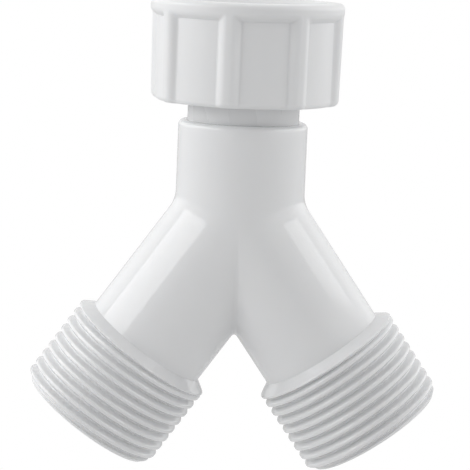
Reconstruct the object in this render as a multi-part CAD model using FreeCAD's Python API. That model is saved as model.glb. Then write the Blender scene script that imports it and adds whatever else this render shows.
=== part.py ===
"""Y hose splitter: a captive swivel nut over a flanged nipple, and a wye with two threaded outlets.

Millimetres. The origin is on the inlet's axis at the sealing plane, the top face of the washer, where
the nut's thread begins. +Z points out of the nut's mouth towards the tap, and the outlets hang below,
spread along X. Four moulded pieces: swivel_nut, sealing_washer, inlet_nipple and wye_body. The nipple
is bonded into the wye's socket, and its flange carries the washer and holds the nut.
"""

import FreeCAD, Part
import math
import os

from FreeCAD import Vector

# ---- thread, G 3/4 (14 turns to the inch) -------------------------------------------------
thread_pitch = 25.4 / 14
thread_major_r = 26.44 / 2
thread_depth = 1.16
thread_crest = 0.50
thread_root = 0.24
thread_play = 0.08
quarters = 4

# ---- swivel nut ---------------------------------------------------------------------------
nut_height = 17.3
nut_r = 16.5
nut_draft = 0.30
panel_depth = 1.25
rib_count = 8
rib_angle = 34.5
rib_crest = 1.6
rib_foot = 3.8
rim_height = 1.6
rim_cove = 1.4
foot_height = 0.9
nut_edge = 0.9
mouth_depth = 1.3
lip_height = 2.6
lip_clearance = 0.90
relief_step = 0.20
relief_over = 0.4
relief_taper = 0.6

# ---- inlet nipple -------------------------------------------------------------------------
nipple_r = 9.55
nipple_wall = 1.80
flange_overlap = 1.25
flange_clearance = 0.8
flange_height = 2.2
neck_gap = 3.3
socket_depth = 10.0

# ---- sealing washer -----------------------------------------------------------------------
washer_height = 2.5
washer_clearance = 0.20
washer_bore_r = 8.0

# ---- wye ----------------------------------------------------------------------------------
socket_wall = 1.50
socket_edge = 0.8
socket_to_centre = 17.3
leg_angle = 35.0
leg_r = 11.05
leg_wall = 2.0
leg_length = 26.3
collar_length = 17.1
collar_back = 1.4
collar_chamfer = 1.25
outlet_wall = 2.16
outlet_bore_depth = 15.0
thread_start = 0.85

# ---- places that follow -------------------------------------------------------------------
nut_bore_r = thread_major_r - thread_depth + thread_play
nut_root_r = thread_major_r + thread_play
lip_bore_r = nipple_r + lip_clearance
flange_r = lip_bore_r + flange_overlap
relief_r = max(nut_root_r + relief_step, flange_r + flange_clearance)
flange_top_z = -washer_height
lip_top_z = flange_top_z - flange_height
nut_foot_z = lip_top_z - lip_height
nut_top_z = nut_foot_z + nut_height
washer_r = nut_bore_r - washer_clearance
nipple_bore_r = nipple_r - nipple_wall
shoulder_z = nut_foot_z - neck_gap
socket_floor_z = shoulder_z - socket_depth
centre_z = shoulder_z - socket_to_centre
socket_r = nipple_r + socket_wall
outlet_s = leg_length + collar_length
leg_bore_r = leg_r - leg_wall
outlet_bore_r = thread_major_r - thread_depth - outlet_wall

origin = Vector(0, 0, 0)
up = Vector(0, 0, 1)


def rod(radius, low, high):
    """A round bar on Z."""
    return Part.makeCylinder(radius, high - low, Vector(0, 0, low))


def turned(outline, steps=1):
    """A solid of revolution about Z from (radius, z) points, made of equal sectors."""
    points = [Vector(r, 0, z) for r, z in outline]
    face = Part.Face(Part.makePolygon(points + points[:1]))
    step = 360.0 / steps
    sector = face.revolve(origin, up, step)
    solid = sector
    for n in range(1, steps):
        turned_sector = sector.copy()
        turned_sector.rotate(origin, up, n * step)
        solid = solid.fuse(turned_sector)
    return solid


def only_solid(shape):
    """The one solid in a boolean's result."""
    solids = shape.Solids
    if len(solids) != 1:
        raise ValueError(f"expected one solid, got {len(solids)}")
    return solids[0]


def thread_groove(open_r, floor_r, low, high):
    """The helical groove between two crests, from low to high, opening at open_r and cut down to floor_r."""
    depth = abs(open_r - floor_r)
    outward = 1 if open_r > floor_r else -1
    over = 0.4
    mouth = thread_pitch - thread_crest
    flank = (mouth - thread_root) / 2 / depth
    half_mouth = mouth / 2 + flank * over
    half_floor = thread_root / 2
    mouth_r = open_r + outward * over
    corners = [
        Vector(mouth_r, 0, low - half_mouth),
        Vector(floor_r, 0, low - half_floor),
        Vector(floor_r, 0, low + half_floor),
        Vector(mouth_r, 0, low + half_mouth),
    ]
    helix = Part.makeLongHelix(thread_pitch, high - low, open_r, 0, False)
    helix.translate(Vector(0, 0, low))
    profile = Part.makePolygon(corners + corners[:1])
    return Part.Wire(helix.Edges).makePipeShell([profile], True, True)


def nut_ribs(panel_r):
    """The grip ribs as one fan of wedges, wide at the panels and narrow at the crest."""
    draft = (rib_foot - rib_crest) / 2 / panel_depth
    over = 0.1
    out_r = nut_r + over
    out_half = rib_crest / 2 - over * draft
    in_half = rib_foot / 2 + draft
    corners = [
        Vector(panel_r - 1, -in_half, nut_foot_z - 2),
        Vector(out_r, -out_half, nut_foot_z - 2),
        Vector(out_r, out_half, nut_foot_z - 2),
        Vector(panel_r - 1, in_half, nut_foot_z - 2),
    ]
    rib = Part.Face(Part.makePolygon(corners + corners[:1])).extrude(Vector(0, 0, nut_height + 4))
    ribs = []
    for n in range(rib_count):
        placed = rib.copy()
        placed.rotate(origin, up, rib_angle - 90 + n * 360.0 / rib_count)
        ribs.append(placed)
    return ribs


# ---- the pieces ---------------------------------------------------------------------------
def swivel_nut():
    """Ribbed coupling nut: female thread above a relief, and a lip that hooks under the flange."""
    foot_r = nut_r - nut_draft
    panel_r = nut_r - panel_depth
    panel_top = nut_top_z - rim_height - rim_cove
    panel_foot = nut_foot_z + foot_height
    shell = turned(
        [
            (0, nut_top_z),
            (nut_r - nut_edge, nut_top_z),
            (nut_r, nut_top_z - nut_edge),
            (foot_r, nut_foot_z + nut_edge),
            (foot_r - nut_edge, nut_foot_z),
            (0, nut_foot_z),
        ]
    )
    past_r = nut_r + 1
    past_top = panel_top + rim_cove * (past_r - panel_r) / panel_depth
    recess = turned(
        [
            (panel_r, panel_top),
            (past_r, past_top),
            (past_r, nut_foot_z - 1),
            (panel_r - nut_edge, nut_foot_z - 1),
            (panel_r - nut_edge, nut_foot_z),
            (panel_r, panel_foot),
        ]
    )
    shell = shell.cut(recess.cut(nut_ribs(panel_r)))
    bore = turned(
        [
            (0, nut_top_z + 1),
            (relief_r + 1, nut_top_z + 1),
            (relief_r, nut_top_z),
            (nut_bore_r, nut_top_z - mouth_depth),
            (nut_bore_r, relief_over),
            (relief_r, relief_over - relief_taper),
            (relief_r, lip_top_z),
            (lip_bore_r, lip_top_z),
            (lip_bore_r, nut_foot_z - 1),
            (0, nut_foot_z - 1),
        ],
        quarters,
    )
    shell = shell.cut(bore)
    groove = thread_groove(nut_bore_r, nut_root_r, relief_over - thread_pitch, nut_top_z + thread_pitch)
    return only_solid(shell.cut(groove))


def inlet_nipple():
    """Flanged sleeve: the flange sits on the nut's lip and carries the washer."""
    tip_z = socket_floor_z
    return turned(
        [
            (nipple_bore_r, flange_top_z),
            (flange_r - 0.3, flange_top_z),
            (flange_r, flange_top_z - 0.3),
            (flange_r, lip_top_z),
            (nipple_r, lip_top_z),
            (nipple_r, tip_z),
            (nipple_bore_r, tip_z),
        ]
    )


def sealing_washer():
    """Flat rubber washer on the flange."""
    edge = 0.25
    low = flange_top_z
    high = low + washer_height
    return turned(
        [
            (washer_bore_r, low),
            (washer_r - edge, low),
            (washer_r, low + edge),
            (washer_r, high - edge),
            (washer_r - edge, high),
            (washer_bore_r, high),
        ]
    )


def outlet_spigot():
    """One leg on its own axis: the centre of the wye is z 0 and the outlet's face is at z outlet_s."""
    crest_r = thread_major_r
    blank = turned(
        [
            (0, leg_length - collar_back),
            (leg_r - 0.5, leg_length - collar_back),
            (leg_r - 0.5, leg_length),
            (leg_r, leg_length),
            (crest_r, leg_length + collar_back),
            (crest_r, outlet_s - collar_chamfer),
            (crest_r - collar_chamfer, outlet_s),
            (0, outlet_s),
        ],
        quarters,
    )
    groove = thread_groove(
        crest_r,
        crest_r - thread_depth,
        leg_length + collar_back + thread_start,
        outlet_s + thread_pitch,
    )
    return only_solid(blank.cut(groove)).fuse(rod(leg_r, 0, leg_length))


def leg_waterway():
    """The bore of one leg, wider in the outlet."""
    wide_from = outlet_s - outlet_bore_depth
    return turned(
        [
            (0, 0),
            (leg_bore_r, 0),
            (leg_bore_r, wide_from - 1.5),
            (outlet_bore_r, wide_from),
            (outlet_bore_r, outlet_s + 1),
            (0, outlet_s + 1),
        ]
    )


def on_leg(shape, side):
    """Moves a shape from a leg's own axis to the wye: side is -1 for left and 1 for right."""
    placed = shape.copy()
    placed.rotate(origin, Vector(0, 1, 0), 180 - side * leg_angle)
    placed.translate(Vector(0, 0, centre_z))
    return placed


def wye_body():
    """Socket, two legs and their threaded collars, moulded in one."""
    body = turned(
        [
            (0, centre_z),
            (socket_r, centre_z),
            (socket_r, shoulder_z - socket_edge),
            (socket_r - socket_edge, shoulder_z),
            (0, shoulder_z),
        ]
    )
    for side in (-1, 1):
        body = body.fuse(on_leg(outlet_spigot(), side))
    water = rod(nipple_r, socket_floor_z, shoulder_z + 1).fuse(rod(leg_bore_r, centre_z, socket_floor_z + 1))
    for side in (-1, 1):
        water = water.fuse(on_leg(leg_waterway(), side))
    return only_solid(body.cut(water))


def main():
    os.makedirs("parts", exist_ok=True)
    pieces = {
        "swivel_nut": swivel_nut(),
        "inlet_nipple": inlet_nipple(),
        "sealing_washer": sealing_washer(),
        "wye_body": wye_body(),
    }
    for name, shape in pieces.items():
        box = shape.BoundBox
        print(
            f"{name}: valid {shape.isValid()}, volume {shape.Volume:.1f}, faces {len(shape.Faces)},"
            f" x {box.XMin:.2f}..{box.XMax:.2f}, y {box.YMin:.2f}..{box.YMax:.2f}, z {box.ZMin:.2f}..{box.ZMax:.2f}"
        )
        shape.exportStep(f"parts/{name}.step")


main()
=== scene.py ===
import math
import bmesh
import bpy
from mathutils import Matrix, Vector


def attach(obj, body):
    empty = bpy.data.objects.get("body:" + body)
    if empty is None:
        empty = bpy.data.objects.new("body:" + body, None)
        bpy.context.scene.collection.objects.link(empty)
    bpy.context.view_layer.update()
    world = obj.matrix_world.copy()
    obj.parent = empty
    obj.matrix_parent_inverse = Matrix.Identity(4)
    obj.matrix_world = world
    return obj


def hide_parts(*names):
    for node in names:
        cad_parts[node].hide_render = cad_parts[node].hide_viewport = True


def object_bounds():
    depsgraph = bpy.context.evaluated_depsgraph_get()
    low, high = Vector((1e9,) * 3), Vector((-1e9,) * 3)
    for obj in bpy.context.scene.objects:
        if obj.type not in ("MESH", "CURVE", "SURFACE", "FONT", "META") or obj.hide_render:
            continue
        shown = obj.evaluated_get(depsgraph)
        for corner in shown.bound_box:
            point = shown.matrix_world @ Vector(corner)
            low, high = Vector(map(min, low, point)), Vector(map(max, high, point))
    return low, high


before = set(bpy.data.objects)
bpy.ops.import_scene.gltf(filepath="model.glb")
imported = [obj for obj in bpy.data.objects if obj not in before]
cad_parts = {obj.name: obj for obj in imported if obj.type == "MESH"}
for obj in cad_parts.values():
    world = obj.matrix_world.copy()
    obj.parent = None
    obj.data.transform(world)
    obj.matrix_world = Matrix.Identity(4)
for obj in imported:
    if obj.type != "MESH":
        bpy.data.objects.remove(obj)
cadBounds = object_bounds()
mm = 0.001
meshLimits = {"seamWeld": 0.000002, "weld": 0.000003, "sliver": 0.000001, "sameHeight": 0.000001}  # in metres
print("frame loaded")

# small helpers for node trees

def addMath(tree, operation, *values):
    node = tree.nodes.new("ShaderNodeMath")
    node.operation = operation
    for socket, value in zip(node.inputs, values):
        plug(tree, value, socket)
    return node.outputs[0]


def plug(tree, value, socket):
    if isinstance(value, bpy.types.NodeSocket):
        tree.links.new(value, socket)
    else:
        socket.default_value = value


def addRange(tree, value, fromMin, fromMax, toMin, toMax, smooth=False):
    node = tree.nodes.new("ShaderNodeMapRange")
    node.interpolation_type = "SMOOTHSTEP" if smooth else "LINEAR"
    given = {"Value": value, "From Min": fromMin, "From Max": fromMax, "To Min": toMin, "To Max": toMax}
    for name, item in given.items():
        plug(tree, item, node.inputs[name])
    return node.outputs[0]


def newGeometryTree(name, sizes):
    tree = bpy.data.node_groups.new(name, "GeometryNodeTree")
    tree.interface.new_socket("Geometry", in_out="OUTPUT", socket_type="NodeSocketGeometry")
    for label, value in sizes.items():
        kind = "NodeSocketInt" if isinstance(value, int) else "NodeSocketFloat"
        tree.interface.new_socket(label, in_out="INPUT", socket_type=kind).default_value = value
    tree.interface.new_socket("Material", in_out="INPUT", socket_type="NodeSocketMaterial")
    return tree, tree.nodes.new("NodeGroupInput").outputs


def unrolledGrid(tree, columns, rows):
    # a unit sheet: u goes round the part and v goes along its axis
    grid = tree.nodes.new("GeometryNodeMeshGrid")
    plug(tree, 1.0, grid.inputs["Size X"])
    plug(tree, 1.0, grid.inputs["Size Y"])
    plug(tree, addMath(tree, "ADD", columns, 1.0), grid.inputs["Vertices X"])
    plug(tree, addMath(tree, "ADD", rows, 1.0), grid.inputs["Vertices Y"])
    split = tree.nodes.new("ShaderNodeSeparateXYZ")
    tree.links.new(tree.nodes.new("GeometryNodeInputPosition").outputs[0], split.inputs[0])
    u, v = (addMath(tree, "ADD", split.outputs[axis], 0.5) for axis in ("X", "Y"))
    return grid.outputs["Mesh"], u, v


def finishTree(tree, mesh, radius, angle, height, material):
    # rolls the sheet into the wall and closes it
    place = tree.nodes.new("ShaderNodeCombineXYZ")
    plug(tree, addMath(tree, "MULTIPLY", radius, addMath(tree, "COSINE", angle)), place.inputs["X"])
    plug(tree, addMath(tree, "MULTIPLY", radius, addMath(tree, "SINE", angle)), place.inputs["Y"])
    plug(tree, height, place.inputs["Z"])
    move = tree.nodes.new("GeometryNodeSetPosition")
    tree.links.new(mesh, move.inputs["Geometry"])
    tree.links.new(place.outputs[0], move.inputs["Position"])
    weld = tree.nodes.new("GeometryNodeMergeByDistance")
    weld.inputs["Distance"].default_value = meshLimits["seamWeld"]
    tree.links.new(move.outputs[0], weld.inputs[0])
    realize = tree.nodes.new("GeometryNodeRealizeInstances")
    tree.links.new(weld.outputs[0], realize.inputs[0])
    paint = tree.nodes.new("GeometryNodeSetMaterial")
    tree.links.new(realize.outputs[0], paint.inputs[0])
    tree.links.new(material, paint.inputs["Material"])
    out = tree.nodes.new("NodeGroupOutput")
    tree.links.new(paint.outputs[0], out.inputs[0])


def growMesh(tree, name, sizes, material):
    carrier = bpy.data.objects.new(name, bpy.data.meshes.new(name))
    bpy.context.scene.collection.objects.link(carrier)
    modifier = carrier.modifiers.new("grow", "NODES")
    modifier.node_group = tree
    for item in tree.interface.items_tree:
        if item.in_out == "INPUT":
            modifier[item.identifier] = material if item.name == "Material" else sizes[item.name]
    depsgraph = bpy.context.evaluated_depsgraph_get()
    mesh = bpy.data.meshes.new_from_object(carrier.evaluated_get(depsgraph), depsgraph=depsgraph)
    carrier.modifiers.remove(modifier)
    bpy.data.objects.remove(carrier)
    return mesh


# materials

def newMaterial(name):
    material = bpy.data.materials.new(name)
    material.use_nodes = True
    return material, material.node_tree, material.node_tree.nodes["Principled BSDF"]


def objectNoise(tree, scale, detail, roughness=0.5, stretch=(1, 1, 1)):
    coords = tree.nodes.new("ShaderNodeTexCoord")
    mapping = tree.nodes.new("ShaderNodeMapping")
    mapping.inputs["Scale"].default_value = stretch
    noise = tree.nodes.new("ShaderNodeTexNoise")
    noise.inputs["Scale"].default_value = scale
    noise.inputs["Detail"].default_value = detail
    noise.inputs["Roughness"].default_value = roughness
    tree.links.new(coords.outputs["Object"], mapping.inputs["Vector"])
    tree.links.new(mapping.outputs["Vector"], noise.inputs["Vector"])
    return noise.outputs["Fac"]


def addBump(tree, height, strength, distance, normal=None):
    bump = tree.nodes.new("ShaderNodeBump")
    bump.inputs["Strength"].default_value = strength
    bump.inputs["Distance"].default_value = distance
    tree.links.new(height, bump.inputs["Height"])
    if normal:
        tree.links.new(normal, bump.inputs["Normal"])
    return bump.outputs["Normal"]


def mouldedPlastic(name, look):
    material, tree, shader = newMaterial(name)
    cloud = objectNoise(tree, look["cloudScale"], 3)
    grain = objectNoise(tree, look["grainScale"], 2)
    flow = objectNoise(tree, look["flowScale"], 4, stretch=look["flowStretch"])
    # painted shade: where the surface is hollow (thread grooves, creases, inside corners) the colour is mixed
    # towards a grey, standing in for the shade that falls there
    creasePointiness = tree.nodes.new("ShaderNodeNewGeometry").outputs["Pointiness"]
    crease = addRange(tree, creasePointiness, *look["creaseRamp"], 1, 0)
    tint = tree.nodes.new("ShaderNodeMix")
    tint.data_type = "RGBA"
    plug(tree, cloud, tint.inputs["Factor"])
    tint.inputs["A"].default_value = (*look["colour"], 1)
    tint.inputs["B"].default_value = (*look["colourShade"], 1)
    # the painted shade in hollows is mixed into the base colour here
    paintedCreaseShade = tree.nodes.new("ShaderNodeMix")
    paintedCreaseShade.data_type = "RGBA"
    plug(tree, addMath(tree, "MULTIPLY", crease, look["paintedShadeAmount"]), paintedCreaseShade.inputs["Factor"])
    tree.links.new(tint.outputs["Result"], paintedCreaseShade.inputs["A"])
    paintedCreaseShade.inputs["B"].default_value = (*look["paintedShadeColour"], 1)
    tree.links.new(paintedCreaseShade.outputs["Result"], shader.inputs["Base Color"])
    rough = addRange(tree, flow, *look["roughRamp"], look["roughLow"], look["roughHigh"])
    tree.links.new(rough, shader.inputs["Roughness"])
    ripple = addBump(tree, cloud, look["rippleStrength"], look["rippleHeight"])
    normal = addBump(tree, grain, look["grainStrength"], look["grainHeight"], ripple)
    if look.get("seam"):
        # the mould's parting line, a hair's height along the part's middle plane
        coords = tree.nodes.new("ShaderNodeTexCoord")
        split = tree.nodes.new("ShaderNodeSeparateXYZ")
        tree.links.new(coords.outputs["Object"], split.inputs[0])
        offset = addMath(tree, "ABSOLUTE", split.outputs["Y"])
        line = addRange(tree, offset, look["seamFlat"], look["seam"], 1, 0, smooth=True)
        normal = addBump(tree, line, look["seamStrength"], look["seamHeight"], normal)
    tree.links.new(normal, shader.inputs["Normal"])
    shader.inputs["IOR"].default_value = look["ior"]
    shader.inputs["Subsurface Weight"].default_value = look["glow"]
    shader.inputs["Subsurface Radius"].default_value = look["glowReach"]
    shader.inputs["Subsurface Scale"].default_value = 1.0
    return material


def softRubber(name, look):
    material, tree, shader = newMaterial(name)
    dust = objectNoise(tree, look["dustScale"], 5, 0.7)
    grain = objectNoise(tree, look["grainScale"], 3)
    tint = tree.nodes.new("ShaderNodeMix")
    tint.data_type = "RGBA"
    plug(tree, addRange(tree, dust, *look["dustRamp"], 0, 1), tint.inputs["Factor"])
    tint.inputs["A"].default_value = (*look["colour"], 1)
    tint.inputs["B"].default_value = (*look["dustColour"], 1)
    tree.links.new(tint.outputs["Result"], shader.inputs["Base Color"])
    rough = addRange(tree, grain, *look["roughRamp"], look["roughLow"], look["roughHigh"])
    tree.links.new(rough, shader.inputs["Roughness"])
    tree.links.new(addBump(tree, grain, look["grainStrength"], look["grainHeight"]), shader.inputs["Normal"])
    return material


bodyLook = {
    # the grey given here for hollows is painted shade, not dirt
    "colour": (0.84, 0.845, 0.85), "colourShade": (0.80, 0.805, 0.815), "paintedShadeColour": (0.55, 0.56, 0.58),
    "cloudScale": 90, "flowScale": 240, "grainScale": 2600,
    "roughLow": 0.07, "roughHigh": 0.09, "rippleStrength": 0.03, "grainStrength": 0.10,
    "rippleHeight": 0.0004, "grainHeight": 0.00004, "flowStretch": (1, 1, 0.25), "roughRamp": (0.3, 0.7),
    # strength of the painted shade in hollows, and the pointiness range over which it fades in
    "paintedShadeAmount": 0.06, "creaseRamp": (0.44, 0.5),
    "glow": 0.06, "glowReach": (0.0016, 0.0014, 0.0012), "ior": 1.5,
    "seam": 0.00012, "seamFlat": 0.00004, "seamStrength": 0.5, "seamHeight": 0.00006,
}
nutLook = dict(
    bodyLook, colour=(0.83, 0.835, 0.84), roughLow=0.28, roughHigh=0.36, grainStrength=0.22, seam=None,
)
nippleLook = dict(bodyLook, colour=(0.80, 0.805, 0.81), roughLow=0.26, roughHigh=0.30, seam=None)
washerLook = {
    "colour": (0.018, 0.018, 0.02),
    "dustColour": (0.06, 0.06, 0.062), "dustScale": 500, "dustRamp": (0.45, 0.75),
    "grainScale": 3000, "grainStrength": 0.4, "grainHeight": 0.00006,
    "roughLow": 0.6, "roughHigh": 0.8, "roughRamp": (0.3, 0.7),
}

bodyPlastic = mouldedPlastic("bodyWhitePlastic", bodyLook)
nutPlastic = mouldedPlastic("nutWhitePlastic", nutLook)
nipplePlastic = mouldedPlastic("nippleWhitePlastic", nippleLook)
washerRubber = softRubber("washerBlackRubber", washerLook)
print("materials made")

# mesh helpers

def addRing(bm, radius, height, columns, place=None):
    radii = radius if isinstance(radius, list) else [radius] * columns
    ring = []
    for k, r in enumerate(radii):
        a = 2 * math.pi * k / columns
        point = Vector((r * math.cos(a), r * math.sin(a), height))
        ring.append(bm.verts.new(place @ point if place else point))
    return ring


def bridge(bm, first, second):
    count = len(first)
    for k in range(count):
        n = (k + 1) % count
        bm.faces.new((first[k], first[n], second[n], second[k]))


def addLathe(bm, outline, columns, place=None, closed=False):
    rings = [addRing(bm, r * mm, z * mm, columns, place) for r, z in outline]
    for a, b in zip(rings, rings[1:] + rings[:1] if closed else rings[1:]):
        bridge(bm, a, b)


def corner(r0, z0, r1, z1, centreR, centreZ, steps):
    # points of the round from one end to the other about its centre, ends included
    a0 = math.atan2(z0 - centreZ, r0 - centreR)
    a1 = math.atan2(z1 - centreZ, r1 - centreR)
    if a1 - a0 > math.pi:
        a1 -= 2 * math.pi
    if a0 - a1 > math.pi:
        a1 += 2 * math.pi
    radius = math.hypot(r0 - centreR, z0 - centreZ)
    angles = [a0 + (a1 - a0) * t / steps for t in range(steps + 1)]
    return [(centreR + radius * math.cos(a), centreZ + radius * math.sin(a)) for a in angles]


def finishPiece(name, bm, material, body, node, creaseAngle=38):
    bmesh.ops.remove_doubles(bm, verts=bm.verts, dist=meshLimits["weld"])
    bmesh.ops.dissolve_degenerate(bm, edges=bm.edges, dist=meshLimits["sliver"])
    bmesh.ops.recalc_face_normals(bm, faces=bm.faces)
    openEdges = sum(1 for e in bm.edges if not e.is_manifold)
    volume = bm.calc_volume(signed=True)
    mesh = bpy.data.meshes.new(name)
    for face in bm.faces:
        face.smooth = True
        face.material_index = 0
    bm.to_mesh(mesh)
    bm.free()
    mesh.materials.clear()
    mesh.materials.append(material)
    mesh.set_sharp_from_angle(angle=math.radians(creaseAngle))
    piece = bpy.data.objects.new(name, mesh)
    bpy.context.scene.collection.objects.link(piece)
    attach(piece, body)
    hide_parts(node)
    print(f"{name}: {len(mesh.polygons)} faces, {openEdges} open edges, {volume * 1e9:.0f} cubic mm")
    return piece


# forked body and its threads

wyeSizes = {
    "legAngle": 35.0, "outerR": 11.05, "boreR": 9.05, "shoulder": -10.6, "centre": -27.9, "rimRound": 0.85,
    "socketR": 9.56, "socketFloor": -20.6, "socketEdge": 0.15,
    "legLength": 26.3, "outletFace": 43.4, "outletBoreR": 9.9, "outletBoreFrom": 28.4, "outletStep": 1.5,
    "outletEdge": 0.3, "rimSteps": 6, "socketSteps": 2, "outletSteps": 4,
    "crotchRound": 1.0, "cornerRound": 1.8, "innerCrotch": 0.6, "innerCorner": 0.8,
    # how a crease's round fades out at the sides
    "narrowAngle": 45, "roundReach": 2.5, "roundFall": 1.2, "roundSteps": 5,
    "columns": 128, "inletRows": (12, 4), "legRows": (14, 10),  # rows of the outer wall and of the bore
}
outletThreadSizes = {
    "Columns": wyeSizes["columns"], "Turns": 11, "Rows Per Turn": 14,
    "Pitch": 25.4 / 14 * mm, "Crest Radius": 13.22 * mm, "Depth": 1.16 * mm,
    "Crest Share": 0.18, "Root Share": 0.10,
    "Start": wyeSizes["legLength"] * mm, "End": wyeSizes["outletFace"] * mm, "Phase": 28.55 * mm,
    "Groove From": 27.7 * mm, "Groove Full": 28.5 * mm, "Groove To": 60 * mm, "Groove Gone": 61 * mm,
    "Back Radius": wyeSizes["outerR"] * mm, "Back Length": 1.4 * mm,
    "Chamfer Radius": 11.97 * mm, "Chamfer Length": 1.25 * mm, "Soft": 0.22 * mm, "End Band": 0.2 * mm,
}


def makeThreadTree():
    # a wall between two heights with a helical groove; a negative crest radius gives the inside of a nut
    tree, given = newGeometryTree("helicalThread", outletThreadSizes)
    calc = lambda operation, *values: addMath(tree, operation, *values)
    rows = calc("MULTIPLY", given["Turns"], given["Rows Per Turn"])
    sheet, u, v = unrolledGrid(tree, given["Columns"], rows)
    turned = calc("ADD", calc("MULTIPLY", v, given["Turns"]), calc("SUBTRACT", u, 1.0))
    free = calc("ADD", given["Start"], calc("MULTIPLY", turned, given["Pitch"]))
    height = calc("MINIMUM", calc("MAXIMUM", free, given["Start"]), given["End"])
    turns = calc("SUBTRACT", calc("DIVIDE", calc("SUBTRACT", height, given["Phase"]), given["Pitch"]), u)
    share = calc("ABSOLUTE", calc("SUBTRACT", turns, calc("ROUND", turns)))
    crestEdge = calc("MULTIPLY", calc("SUBTRACT", 1.0, given["Crest Share"]), 0.5)
    rootEdge = calc("MULTIPLY", given["Root Share"], 0.5)
    groove = addRange(tree, share, rootEdge, crestEdge, 1.0, 0.0, smooth=True)
    opens = addRange(tree, height, given["Groove From"], given["Groove Full"], 0.0, 1.0, smooth=True)
    shuts = addRange(tree, height, given["Groove To"], given["Groove Gone"], 1.0, 0.0, smooth=True)
    cut = calc("MULTIPLY", calc("MULTIPLY", groove, given["Depth"]), calc("MULTIPLY", opens, shuts))
    wall = calc("SUBTRACT", given["Crest Radius"], cut)
    backEnd = calc("ADD", given["Start"], given["Back Length"])
    back = addRange(tree, height, given["Start"], backEnd, given["Back Radius"], given["Crest Radius"])
    noseStart = calc("SUBTRACT", given["End"], given["Chamfer Length"])
    nose = addRange(tree, height, noseStart, given["End"], given["Crest Radius"], given["Chamfer Radius"])
    soft = calc("SMOOTH_MIN", wall, calc("MINIMUM", back, nose), given["Soft"])
    # the two end rings keep their exact radius
    edge = calc("MINIMUM", calc("SUBTRACT", height, given["Start"]), calc("SUBTRACT", given["End"], height))
    inside = addRange(tree, edge, 0.0, given["End Band"], 0.0, 1.0)
    bare = calc("MINIMUM", back, nose)
    ends = calc("MULTIPLY", bare, calc("SUBTRACT", 1.0, inside))
    radius = calc("ABSOLUTE", calc("ADD", calc("MULTIPLY", soft, inside), ends))
    angle = calc("MULTIPLY", u, 2 * math.pi)
    finishTree(tree, sheet, radius, angle, height, given["Material"])
    return tree


threadTree = makeThreadTree()
print("thread tree made")

def pipeAxes(sizes):
    lean = math.radians(sizes["legAngle"])
    return {
        "inlet": Vector((0, 0, 1)),
        "left": Vector((-math.sin(lean), 0, -math.cos(lean))),
        "right": Vector((math.sin(lean), 0, -math.cos(lean))),
    }


def towards(axis, other):
    # the direction square to axis, in the plane of both, on the side of other
    return (other - axis * axis.dot(other)).normalized()


def addPipe(bm, sizes, name, radius, farEnd, rows, rounds):
    # one limb from its far ring to the creases where it meets the other two
    axes = pipeAxes(sizes)
    axis = axes[name]
    hub = Vector((0, 0, sizes["centre"] * mm))
    columns = sizes["columns"]
    others = [axes[k] for k in ("left", "right", "inlet") if k != name]
    side = towards(axis, others[0])
    depth = Vector((0, 1, 0))
    grid = []
    for k in range(columns):
        turn = 2 * math.pi * k / columns
        lean = math.cos(turn)
        other = others[0] if lean >= 0 else others[1]
        reach = abs(lean)
        half = axis.angle(other) / 2
        crease = radius * reach / math.tan(half)
        wide = rounds[0] if half < math.radians(sizes["narrowAngle"]) else rounds[1]
        wide = wide * mm * min(1.0, reach * sizes["roundReach"]) ** sizes["roundFall"]
        own = hub + depth * radius * math.sin(turn) + side * radius * lean
        mirror = hub + depth * radius * math.sin(turn) + towards(other, axis) * radius * reach
        nearPoint = own + axis * (crease + wide)
        farPoint = mirror + other * (crease + wide)
        crestPoint = own + axis * crease
        line = [own + axis * (farEnd + (crease + wide - farEnd) * t / rows) for t in range(rows + 1)]
        for step in range(1, sizes["roundSteps"] + 1):
            t = step / (2 * sizes["roundSteps"])
            line.append(nearPoint * (1 - t) ** 2 + crestPoint * 2 * t * (1 - t) + farPoint * t * t)
        grid.append([bm.verts.new(p) for p in line])
    for a, b in zip(grid, grid[1:] + grid[:1]):
        for k in range(len(a) - 1):
            bm.faces.new((a[k], a[k + 1], b[k + 1], b[k]))


def legPlace(sizes, sideSign):
    # the leg's own frame: X and Y across it and Z out of the outlet
    turn = Matrix.Rotation(math.radians(180 - sideSign * sizes["legAngle"]), 4, "Y")
    return Matrix.Translation((0, 0, sizes["centre"] * mm)) @ turn


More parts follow.
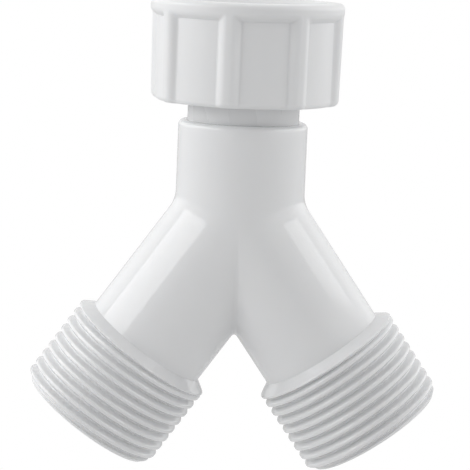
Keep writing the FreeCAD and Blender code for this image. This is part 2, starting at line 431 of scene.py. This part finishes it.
def makeWye():
    s = wyeSizes
    bm = bmesh.new()
    columns = s["columns"]
    rounds = (s["crotchRound"], s["cornerRound"])
    inner = (s["innerCrotch"], s["innerCorner"])
    wallRows, boreRows = s["inletRows"]
    wallTop = s["shoulder"] - s["rimRound"] - s["centre"]
    addPipe(bm, s, "inlet", s["outerR"] * mm, wallTop * mm, wallRows, rounds)
    addPipe(bm, s, "inlet", s["boreR"] * mm, (s["socketFloor"] - s["centre"]) * mm, boreRows, inner)
    rim = s["rimRound"]
    top = s["shoulder"]
    rimMiddle = s["outerR"] - rim
    outline = corner(s["outerR"], top - rim, rimMiddle, top, rimMiddle, top - rim, s["rimSteps"])
    edge = s["socketEdge"]
    edgeMiddle = s["socketR"] + edge
    outline += corner(edgeMiddle, top, s["socketR"], top - edge, edgeMiddle, top - edge, s["socketSteps"])
    outline += [(s["socketR"], s["socketFloor"]), (s["boreR"], s["socketFloor"])]
    addLathe(bm, outline, columns)
    wallRows, boreRows = s["legRows"]
    for name, sign in (("left", -1), ("right", 1)):
        place = legPlace(s, sign)
        addPipe(bm, s, name, s["outerR"] * mm, s["legLength"] * mm, wallRows, rounds)
        addPipe(bm, s, name, s["boreR"] * mm, (s["outletBoreFrom"] - s["outletStep"]) * mm, boreRows, inner)
        thread = growMesh(threadTree, name + "Thread", outletThreadSizes, bodyPlastic)
        thread.transform(place)
        bm.from_mesh(thread)
        bpy.data.meshes.remove(thread)
        face = s["outletFace"]
        edge = s["outletEdge"]
        mouthR = s["outletBoreR"] + edge
        bore = [(outletThreadSizes["Chamfer Radius"] / mm, face), (mouthR, face)]
        bore += corner(mouthR, face, s["outletBoreR"], face - edge, mouthR, face - edge, s["outletSteps"])[1:]
        bore += [(s["outletBoreR"], s["outletBoreFrom"]), (s["boreR"], s["outletBoreFrom"] - s["outletStep"])]
        addLathe(bm, bore, columns, place)
    return finishPiece("wyeBody", bm, bodyPlastic, "splitter", "wye_body")


makeWye()

# inlet nipple

nippleSizes = {
    "radius": 9.55, "boreR": 7.75, "tip": -20.6, "flangeR": 11.7, "flangeTop": -2.5, "flangeFoot": -4.7,
    "edge": 0.3, "footEdge": 0.15, "neckFillet": 0.25, "tipTaper": 0.4, "tipEdge": 0.2,
    "edgeSteps": 4, "footSteps": 2, "columns": 128,
}


def makeNipple():
    s = nippleSizes
    e = s["edge"]
    bm = bmesh.new()
    top, low = s["flangeTop"], s["flangeFoot"]
    boreR, flangeR = s["boreR"], s["flangeR"]
    outline = corner(boreR, top - e, boreR + e, top, boreR + e, top - e, s["edgeSteps"])
    outline += corner(flangeR - e, top, flangeR, top - e, flangeR - e, top - e, s["edgeSteps"])
    f = s["footEdge"]
    outline += corner(flangeR, low + f, flangeR - f, low, flangeR - f, low + f, s["footSteps"])
    n = s["neckFillet"]
    outline += corner(s["radius"] + n, low, s["radius"], low - n, s["radius"] + n, low - n, s["edgeSteps"])
    outline += [(s["radius"], s["tip"] + s["tipTaper"]), (s["radius"] - s["tipTaper"], s["tip"])]
    outline += [(s["boreR"] + s["tipEdge"], s["tip"]), (s["boreR"], s["tip"] + s["tipEdge"])]
    addLathe(bm, outline, s["columns"], closed=True)
    return finishPiece("inletNipple", bm, nipplePlastic, "splitter", "inlet_nipple")


makeNipple()

# sealing washer

washerSizes = {
    "boreR": 8.0, "outerR": 11.94, "low": -2.5, "high": 0.0, "edge": 0.35,
    "dentWidth": 1.8, "dentFloor": 1.2, "dentDepth": 0.12, "edgeSteps": 4, "columns": 96,
}


def makeWasher():
    s = washerSizes
    e = s["edge"]
    bm = bmesh.new()
    steps = s["edgeSteps"]
    boreR, outerR, low, high = s["boreR"], s["outerR"], s["low"], s["high"]
    outline = corner(outerR, low + e, outerR - e, low, outerR - e, low + e, steps)
    outline += corner(boreR + e, low, boreR, low + e, boreR + e, low + e, steps)
    outline += corner(boreR, high - e, boreR + e, high, boreR + e, high - e, steps)
    # a spout has pressed a shallow ring into the top
    middle = (boreR + outerR) / 2
    wide, flat, deep = s["dentWidth"] / 2, s["dentFloor"] / 2, high - s["dentDepth"]
    outline += [(middle - wide, high), (middle - flat, deep), (middle + flat, deep), (middle + wide, high)]
    outline += corner(outerR - e, high, outerR, high - e, outerR - e, high - e, steps)
    addLathe(bm, outline, s["columns"], closed=True)
    return finishPiece("sealingWasher", bm, washerRubber, "washer", "sealing_washer")


makeWasher()

# swivel nut

nutSizes = {
    "Columns": 384, "Rows": 84, "Ribs": 8, "First Rib": math.radians(34.5 - 90), "Gather": 0.55,
    "Bottom": -7.3 * mm, "Top": 10.0 * mm,
    "Outer Radius": 16.5 * mm, "Draft": 0.30 * mm, "Panel Depth": 1.25 * mm,
    "Rib Crest": 0.5 * mm, "Rib Foot": 3.8 * mm, "Rim Height": 1.6 * mm, "Rim Cove": 1.4 * mm,
    "Top Round": 0.9 * mm, "Rib Round": 1.1 * mm, "Panel Round": 0.8 * mm, "Cove Power": 2.2, "Meeting": 0.25,
}


def makeNutTree():
    # the ribbed wall: a panel cylinder with drafted ribs, a rim above and rounded ends
    tree, given = newGeometryTree("ribbedWall", nutSizes)
    calc = lambda operation, *values: addMath(tree, operation, *values)
    sheet, u, v = unrolledGrid(tree, given["Columns"], given["Rows"])
    # columns gather at the ribs and rows at the two ends
    wave = calc("SINE", calc("MULTIPLY", calc("MULTIPLY", u, given["Ribs"]), 2 * math.pi))
    allRibs = calc("MULTIPLY", given["Ribs"], 2 * math.pi)
    gathered = calc("SUBTRACT", u, calc("DIVIDE", calc("MULTIPLY", wave, given["Gather"]), allRibs))
    angle = calc("ADD", calc("MULTIPLY", gathered, 2 * math.pi), given["First Rib"])
    ease = calc("SUBTRACT", 0.5, calc("MULTIPLY", calc("COSINE", calc("MULTIPLY", v, math.pi)), 0.5))
    tall = calc("SUBTRACT", given["Top"], given["Bottom"])
    height = calc("ADD", given["Bottom"], calc("MULTIPLY", ease, tall))
    # distance round the wall from the nearest rib's middle
    sector = calc("MULTIPLY", gathered, given["Ribs"])
    offset = calc("ABSOLUTE", calc("SUBTRACT", sector, calc("ROUND", sector)))
    panelRadius = calc("SUBTRACT", given["Outer Radius"], given["Panel Depth"])
    swing = calc("DIVIDE", calc("MULTIPLY", offset, 2 * math.pi), given["Ribs"])
    aside = calc("MULTIPLY", calc("SINE", swing), panelRadius)
    crestHalf, footHalf = (calc("MULTIPLY", given[name], 0.5) for name in ("Rib Crest", "Rib Foot"))
    ribSlope = addRange(tree, aside, crestHalf, footHalf, 0.0, 1.0)
    rib = calc("SUBTRACT", 1.0, calc("POWER", ribSlope, given["Cove Power"]))
    rimFoot = calc("SUBTRACT", calc("SUBTRACT", given["Top"], given["Rim Height"]), given["Rim Cove"])
    rimSlope = addRange(tree, height, rimFoot, calc("ADD", rimFoot, given["Rim Cove"]), 1.0, 0.0)
    rim = calc("SUBTRACT", 1.0, calc("POWER", rimSlope, given["Cove Power"]))
    stand = calc("MINIMUM", calc("SMOOTH_MAX", rib, rim, given["Meeting"]), 1.0)
    draft = calc("MULTIPLY", calc("DIVIDE", calc("SUBTRACT", given["Top"], height), tall), given["Draft"])
    wall = calc("ADD", panelRadius, calc("MULTIPLY", stand, calc("SUBTRACT", given["Panel Depth"], draft)))
    extraRound = calc("SUBTRACT", given["Rib Round"], given["Panel Round"])
    footRound = calc("ADD", given["Panel Round"], calc("MULTIPLY", stand, extraRound))
    lowIn = roundIn(tree, calc("SUBTRACT", height, given["Bottom"]), footRound)
    highIn = roundIn(tree, calc("SUBTRACT", given["Top"], height), given["Top Round"])
    radius = calc("SUBTRACT", wall, calc("ADD", lowIn, highIn))
    finishTree(tree, sheet, radius, angle, height, given["Material"])
    return tree


def roundIn(tree, away, size):
    # how far a quarter round pulls the wall in, at a distance from its end
    share = addMath(tree, "SUBTRACT", 1.0, addRange(tree, away, 0.0, size, 0.0, 1.0))
    rest = addMath(tree, "SUBTRACT", 1.0, addMath(tree, "MULTIPLY", share, share))
    arc = addMath(tree, "SQRT", addMath(tree, "MAXIMUM", rest, 0.0))
    return addMath(tree, "MULTIPLY", addMath(tree, "SUBTRACT", 1.0, arc), size)


nutThreadSizes = dict(
    outletThreadSizes,
    **{
        "Columns": 384, "Turns": 8, "Rows Per Turn": 12, "Crest Radius": -12.14 * mm,
        "Start": -0.2 * mm, "End": nutSizes["Top"], "Phase": 0.4 * mm,
        "Groove From": -0.2 * mm, "Groove Full": 0.5 * mm, "Groove To": 8.5 * mm, "Groove Gone": 9.7 * mm,
        "Back Radius": -13.5 * mm, "Back Length": 0.6 * mm,
        "Chamfer Radius": -13.5 * mm, "Chamfer Length": 1.3 * mm,
    },
)
nutInside = {
    "reliefR": 13.5, "lipTop": -4.7, "lipR": 10.45, "lipEdge": 0.35, "lipTopEdge": 0.2, "cornerFillet": 0.3,
    "lipSteps": 4, "topSteps": 3, "creaseAngle": 50,
}


def endRing(bm, height):
    found = [v for v in bm.verts if abs(v.co.z - height) < meshLimits["sameHeight"]]
    return sorted(found, key=lambda v: math.atan2(v.co.y, v.co.x))


def makeNut():
    s = nutInside
    bm = bmesh.new()
    wall = growMesh(makeNutTree(), "nutWall", nutSizes, nutPlastic)
    bm.from_mesh(wall)
    bpy.data.meshes.remove(wall)
    foot, crown = endRing(bm, nutSizes["Bottom"]), endRing(bm, nutSizes["Top"])
    angles = [math.atan2(v.co.y, v.co.x) for v in foot]

    def ring(radius, height):
        r = radius * mm
        return [bm.verts.new((r * math.cos(a), r * math.sin(a), height * mm)) for a in angles]

    bottom = nutSizes["Bottom"] / mm
    lipR, lipTop, reliefR = s["lipR"], s["lipTop"], s["reliefR"]
    e, t, f = s["lipEdge"], s["lipTopEdge"], s["cornerFillet"]
    outline = corner(lipR + e, bottom, lipR, bottom + e, lipR + e, bottom + e, s["lipSteps"])
    outline += corner(lipR, lipTop - t, lipR + t, lipTop, lipR + t, lipTop - t, s["topSteps"])
    outline += corner(reliefR - f, lipTop, reliefR, lipTop + f, reliefR - f, lipTop + f, s["topSteps"])
    last = foot
    for r, z in outline:
        nextRing = ring(r, z)
        bridge(bm, last, nextRing)
        last = nextRing
    # the thread's columns are even, so its two end rings are laid onto the wall's columns
    thread = growMesh(threadTree, "nutThread", nutThreadSizes, nutPlastic)
    bm.from_mesh(thread)
    bpy.data.meshes.remove(thread)
    bm.verts.index_update()
    low = [v for v in endRing(bm, nutThreadSizes["Start"]) if v not in last]
    high = [v for v in endRing(bm, nutThreadSizes["End"]) if v not in set(crown)]
    joinRings(bm, last, low)
    joinRings(bm, crown, high)
    return finishPiece("swivelNut", bm, nutPlastic, "nut", "swivel_nut", s["creaseAngle"])


def joinRings(bm, first, second):
    # closes the band between two rings with the same count, starting each at the same angle
    turn = lambda ring: min(range(len(ring)), key=lambda k: abs(math.atan2(ring[k].co.y, ring[k].co.x)))
    a, b = turn(first), turn(second)
    count = len(first)
    first = first[a:] + first[:a]
    second = second[b:] + second[:b]
    if count != len(second):
        raise ValueError(f"rings of {count} and {len(second)}")
    bridge(bm, first, second)


makeNut()

# stage, light and camera

stageSizes = {
    "lookAt": (-0.00058, 0, -0.0303), "elevation": 8.0, "roll": 2.4, "distance": 0.40, "frameWidth": 0.0808,
    "sensor": 36, "clipStart": 0.01,
    "floorDrop": 0.030, "floorHalf": 3, "floorColour": (0.70, 0.70, 0.70), "floorRough": 0.9,
    "worldGrey": 0.295, "leftWall": 0.74, "rightWall": 0.96, "backWall": 0.55,
    "sideRamp": (0.30, 0.95), "backRamp": (0.0, 0.7),  # how far round to a wall its light starts and is full
    "lamps": {
        "leftSoftbox": ((-0.36, -0.11, 0.16), (0.44, 0.20), 0.68),
        "rightSoftbox": ((0.36, -0.02, 0.20), (0.28, 0.14), 0.22),
        "topSoftbox": ((0.0, 0.05, 0.50), (0.5, 0.4), 0.40),
    },
}


def makeFloor():
    s = stageSizes
    low = cadBounds[0][2] - s["floorDrop"]
    mesh = bpy.data.meshes.new("floor")
    half = s["floorHalf"]
    corners = [(-half, -half, low), (half, -half, low), (half, half, low), (-half, half, low)]
    mesh.from_pydata(corners, [], [(0, 1, 2, 3)])
    floor = bpy.data.objects.new("floor", mesh)
    bpy.context.scene.collection.objects.link(floor)
    material, tree, shader = newMaterial("floorWhite")
    shader.inputs["Base Color"].default_value = (*s["floorColour"], 1)
    shader.inputs["Roughness"].default_value = s["floorRough"]
    glow = tree.nodes.new("ShaderNodeEmission")
    glow.inputs["Strength"].default_value = 1.0
    mix = tree.nodes.new("ShaderNodeMixShader")
    path = tree.nodes.new("ShaderNodeLightPath")
    tree.links.new(path.outputs["Is Camera Ray"], mix.inputs[0])
    tree.links.new(shader.outputs[0], mix.inputs[1])
    tree.links.new(glow.outputs[0], mix.inputs[2])
    tree.links.new(mix.outputs[0], tree.nodes["Material Output"].inputs["Surface"])
    mesh.materials.append(material)


def makeWorld():
    s = stageSizes
    world = bpy.data.worlds.new("studioWorld")
    bpy.context.scene.world = world
    world.use_nodes = True
    tree = world.node_tree
    back = tree.nodes["Background"]
    back.inputs["Color"].default_value = (1, 1, 1, 1)
    path = tree.nodes.new("ShaderNodeLightPath")
    seen = addMath(tree, "MAXIMUM", path.outputs["Is Camera Ray"], path.outputs["Is Transmission Ray"])
    # the studio is dim behind the camera and bright at both sides and at the backdrop
    split = tree.nodes.new("ShaderNodeSeparateXYZ")
    tree.links.new(tree.nodes.new("ShaderNodeTexCoord").outputs["Generated"], split.inputs[0])
    near, far = s["sideRamp"]
    left = addRange(tree, split.outputs["X"], -near, -far, 0.0, s["leftWall"], smooth=True)
    right = addRange(tree, split.outputs["X"], near, far, 0.0, s["rightWall"], smooth=True)
    behind = addRange(tree, split.outputs["Y"], *s["backRamp"], 0.0, s["backWall"], smooth=True)
    sides = addMath(tree, "ADD", left, right)
    glow = addMath(tree, "ADD", sides, addMath(tree, "ADD", behind, s["worldGrey"]))
    tree.links.new(addRange(tree, seen, 0.0, 1.0, glow, 1.0), back.inputs["Strength"])


def makeLamps():
    for name, (place, size, power) in stageSizes["lamps"].items():
        lamp = bpy.data.lights.new(name, "AREA")
        lamp.shape = "RECTANGLE"
        lamp.size, lamp.size_y = size
        lamp.energy = power
        holder = bpy.data.objects.new(name, lamp)
        holder.location = place
        aim = Vector(stageSizes["lookAt"]) - Vector(place)
        holder.rotation_euler = aim.to_track_quat("-Z", "Y").to_euler()
        bpy.context.scene.collection.objects.link(holder)


def makeCamera():
    s = stageSizes
    lean = math.radians(s["elevation"])
    target = Vector(s["lookAt"])
    camera = bpy.data.cameras.new("productCamera")
    camera.sensor_width = s["sensor"]
    camera.lens = s["sensor"] * s["distance"] / s["frameWidth"]
    camera.clip_start = s["clipStart"]
    holder = bpy.data.objects.new("productCamera", camera)
    holder.location = target + Vector((0, -math.cos(lean), math.sin(lean))) * s["distance"]
    look = (target - holder.location).to_track_quat("-Z", "Y").to_matrix().to_4x4()
    holder.rotation_euler = (look @ Matrix.Rotation(math.radians(s["roll"]), 4, "Z")).to_euler()
    bpy.context.scene.collection.objects.link(holder)
    bpy.context.scene.camera = holder


makeFloor()
makeWorld()
makeLamps()
makeCamera()
bpy.context.scene.view_settings.view_transform = "Standard"
print("stage, light and camera set")
